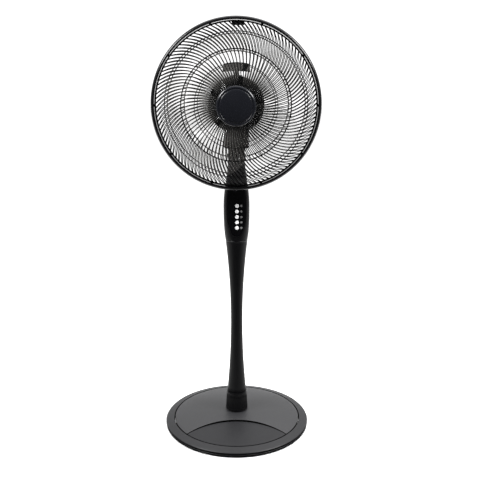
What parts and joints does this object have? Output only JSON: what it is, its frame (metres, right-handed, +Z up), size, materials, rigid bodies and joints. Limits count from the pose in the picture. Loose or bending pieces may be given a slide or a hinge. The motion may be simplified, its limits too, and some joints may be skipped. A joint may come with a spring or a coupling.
{
  "type": "pedestal fan",
  "caption": "Floor-standing fan: round weighted base, waisted column, push-button control housing, and a wire-guarded head with clear blades that tilts and swings.",
  "frame": {"origin": "centre of the round base, on the floor", "axes": "+Z up along the column, the fan faces -Y, +X to the right of someone facing the fan"},
  "size_m": [0.45, 0.436, 1.1918],
  "materials": {
    "charcoal_plastic": "satin moulded",
    "black_satin": "satin moulded",
    "black_gloss": "polished",
    "wire_paint": "semi-gloss powder coat",
    "smoked_clear": "clear, lightly smoked",
    "button_white": "satin moulded",
    "light_grey": "translucent grey",
    "steel": "plated",
    "cast_iron": "painted",
    "aluminium": "die-cast",
    "copper": "enamelled wire",
    "bronze": "sintered",
    "rubber": "matte",
    "board_green": "solder mask",
    "nylon": "natural"
  },
  "bodies": {
    "stand": {"base_weight": "cast_iron", "base_rim": "charcoal_plastic", "base_cover": "charcoal_plastic", "base_front_panel": "charcoal_plastic", "foot_1": "rubber", "foot_2": "rubber", "foot_3": "rubber", "foot_4": "rubber", "column_nut": "black_satin", "column_socket": "steel", "column_tube": "steel", "column": "black_satin", "seam_ring": "black_gloss", "control_front": "black_satin", "control_rear": "black_satin", "control_panel": "black_gloss", "light_guide": "light_grey", "control_board": "board_green", "run_capacitor": "black_satin", "control_screw_1": "steel", "control_screw_2": "steel", "cord_gland": "rubber", "tilt_bracket": "black_satin"},
    "button_1": {"button_1": "button_white"},
    "button_2": {"button_2": "button_white"},
    "button_3": {"button_3": "button_white"},
    "button_4": {"button_4": "button_white"},
    "button_5": {"button_5": "button_white"},
    "neck": {"neck_yoke": "black_satin", "tilt_bolt": "steel", "tilt_nut": "steel", "swing_washer": "nylon"},
    "head": {"head_frame": "aluminium", "swing_pin": "steel", "swing_motor": "steel", "motor_front_cap": "aluminium", "motor_rear_cap": "aluminium", "stator_core": "steel", "winding_front": "copper", "winding_rear": "copper", "bearing_front": "bronze", "bearing_rear": "bronze", "housing_front": "black_satin", "housing_rear": "black_satin", "carry_handle": "black_satin", "rear_guard": "wire_paint", "rear_guard_plate": "wire_paint", "guard_nut": "black_satin", "guard_rim": "black_gloss", "rim_clip": "black_satin", "front_guard": "wire_paint", "front_cap": "black_gloss", "cap_retainer": "black_satin"},
    "crank": {"crank": "nylon"},
    "link": {"swing_link": "steel"},
    "rotor": {"rotor_core": "steel", "motor_shaft": "steel", "drive_pin": "steel", "impeller": "smoked_clear", "spinner_nut": "black_satin"}
  },
  "joints": [
    {"name": "tilt", "type": "hinge", "parent": "stand", "child": "neck", "pos_m": [0, 0, 0.822], "axis": [1, 0, 0], "range_deg": [-20, 10]},
    {"name": "swing", "type": "hinge", "parent": "neck", "child": "head", "pos_m": [0, 0, 0.864], "axis": [0, 0, 1], "range_deg": [-40, 40]},
    {"name": "crank_turn", "type": "hinge", "parent": "head", "child": "crank", "pos_m": [0.00565, 0.04, 0.8825], "axis": [0, 0, 1], "range_deg": [-60, 60]},
    {"name": "link_turn", "type": "hinge", "parent": "crank", "child": "link", "pos_m": [0.022, 0.04, 0.8778], "axis": [0, 0, 1], "range_deg": [-60, 60]},
    {"name": "spin", "type": "hinge", "parent": "head", "child": "rotor", "pos_m": [0, -0.112, 0.9668], "axis": [0, -1, 0], "continuous": true},
    {"name": "press_1", "type": "slide", "parent": "stand", "child": "button_1", "axis": [0, 1, 0], "range_m": [0, 0.0008], "stiffness_N_per_m": 400},
    {"name": "press_2", "type": "slide", "parent": "stand", "child": "button_2", "axis": [0, 1, 0], "range_m": [0, 0.0008], "stiffness_N_per_m": 400},
    {"name": "press_3", "type": "slide", "parent": "stand", "child": "button_3", "axis": [0, 1, 0], "range_m": [0, 0.0008], "stiffness_N_per_m": 400},
    {"name": "press_4", "type": "slide", "parent": "stand", "child": "button_4", "axis": [0, 1, 0], "range_m": [0, 0.0008], "stiffness_N_per_m": 400},
    {"name": "press_5", "type": "slide", "parent": "stand", "child": "button_5", "axis": [0, 1, 0], "range_m": [0, 0.0008], "stiffness_N_per_m": 400}
  ],
  "couplings": [
    {"joint": "crank_turn", "follows": "swing", "ratio": -1.5},
    {"joint": "link_turn", "follows": "swing", "ratio": 1.5}
  ]
}
